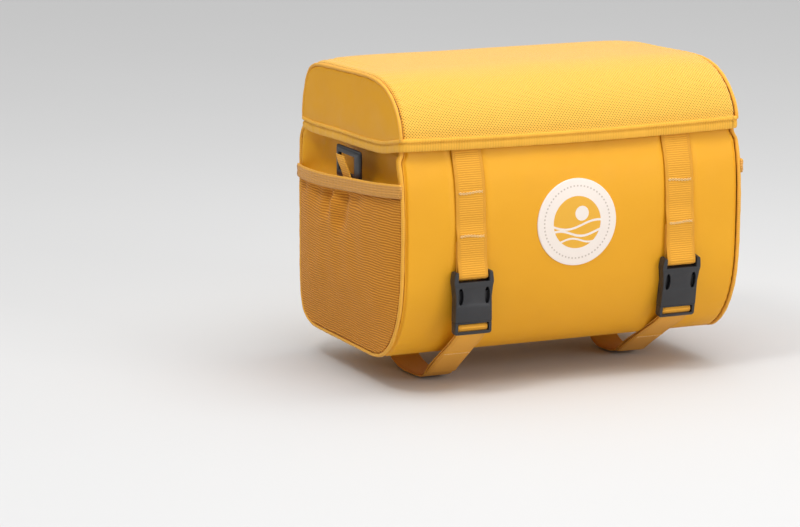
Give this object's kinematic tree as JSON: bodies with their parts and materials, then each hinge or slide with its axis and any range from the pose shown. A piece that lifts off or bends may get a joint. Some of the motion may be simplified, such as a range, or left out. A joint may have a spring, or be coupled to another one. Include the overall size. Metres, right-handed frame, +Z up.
{
  "type": "handlebar bag",
  "caption": "Soft box bag of coated cloth with a padded lid, stretch side pockets and buckled webbing straps that hold it to a bar or a rack.",
  "frame": {"origin": "middle of the flat bottom, where the bag sits on what carries it", "axes": "+X to the right as seen from the front, -Y to the front, +Z up"},
  "size_m": [0.3308, 0.2261, 0.2571],
  "materials": {
    "coated_cloth": "smooth coated weave",
    "lid_cloth": "padded dotted weave",
    "pocket_knit": "ribbed stretch knit",
    "webbing": "ribbed polyester webbing",
    "binding": "folded woven tape",
    "black_acetal": "satin moulding",
    "badge_print": "printed patch"
  },
  "bodies": {
    "root": {"shell_panel": "coated_cloth", "lid_panel": "lid_cloth", "lid_hem": "binding", "badge": "badge_print", "left_side_panel": "coated_cloth", "left_seam_piping": "binding", "left_pocket": "pocket_knit", "left_pocket_hem": "binding", "left_lid_gusset": "coated_cloth", "left_lid_piping": "binding", "left_strap": "webbing", "left_lower_strap": "webbing", "left_side_clip": "black_acetal", "left_side_tab": "webbing", "left_buckle_socket": "black_acetal", "left_buckle_latch": "black_acetal", "right_side_panel": "coated_cloth", "right_seam_piping": "binding", "right_pocket": "pocket_knit", "right_pocket_hem": "binding", "right_lid_gusset": "coated_cloth", "right_lid_piping": "binding", "right_strap": "webbing", "right_lower_strap": "webbing", "right_side_clip": "black_acetal", "right_side_tab": "webbing", "right_buckle_socket": "black_acetal", "right_buckle_latch": "black_acetal"}
  },
  "joints": []
}
